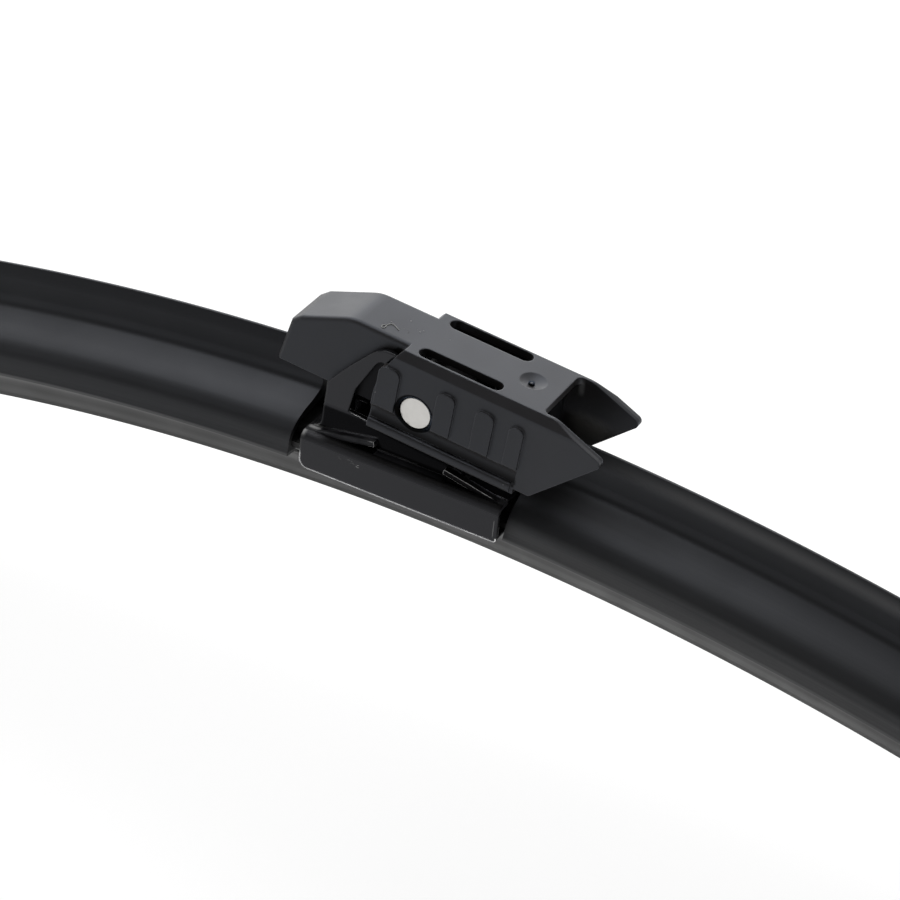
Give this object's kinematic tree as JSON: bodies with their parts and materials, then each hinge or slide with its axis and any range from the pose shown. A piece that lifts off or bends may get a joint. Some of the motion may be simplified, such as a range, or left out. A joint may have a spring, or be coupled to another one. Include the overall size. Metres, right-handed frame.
{
  "type": "flat wiper blade",
  "caption": "Bowed flat wiper blade with a rubber spoiler, a pressed-steel centre bracket and a pivoting hook adapter that clips onto the wiper arm.",
  "frame": {"origin": "centre of the pivot rivet, where the arm's hook turns", "axes": "+X along the blade towards the adapter's open mouth, +Y across the blade towards the fin, +Z away from the glass"},
  "size_m": [0.3898, 0.0164, 0.0797],
  "materials": {
    "adapter_plastic": "fine satin moulding",
    "bracket_paint": "gloss black with bright worn edges",
    "rivet_steel": "bright",
    "bush_plastic": "satin",
    "rail_steel": "satin spring steel",
    "wiper_rubber": "graphite coated",
    "spoiler_rubber": "satin",
    "cap_plastic": "satin"
  },
  "bodies": {
    "adapter": {"hook_adapter": "adapter_plastic"},
    "blade": {"connector_bracket": "bracket_paint", "pivot_rivet": "rivet_steel", "hook_bush": "bush_plastic", "spring_rail_front": "rail_steel", "spring_rail_rear": "rail_steel", "wiping_rubber": "wiper_rubber", "spoiler_left": "spoiler_rubber", "spoiler_right": "spoiler_rubber", "end_cap_left": "cap_plastic", "end_cap_right": "cap_plastic"}
  },
  "joints": [
    {"name": "blade_pivot", "type": "hinge", "parent": "adapter", "child": "blade", "pos_m": [0, 0, 0], "axis": [0, 1, 0], "range_deg": [-7, 6]}
  ]
}
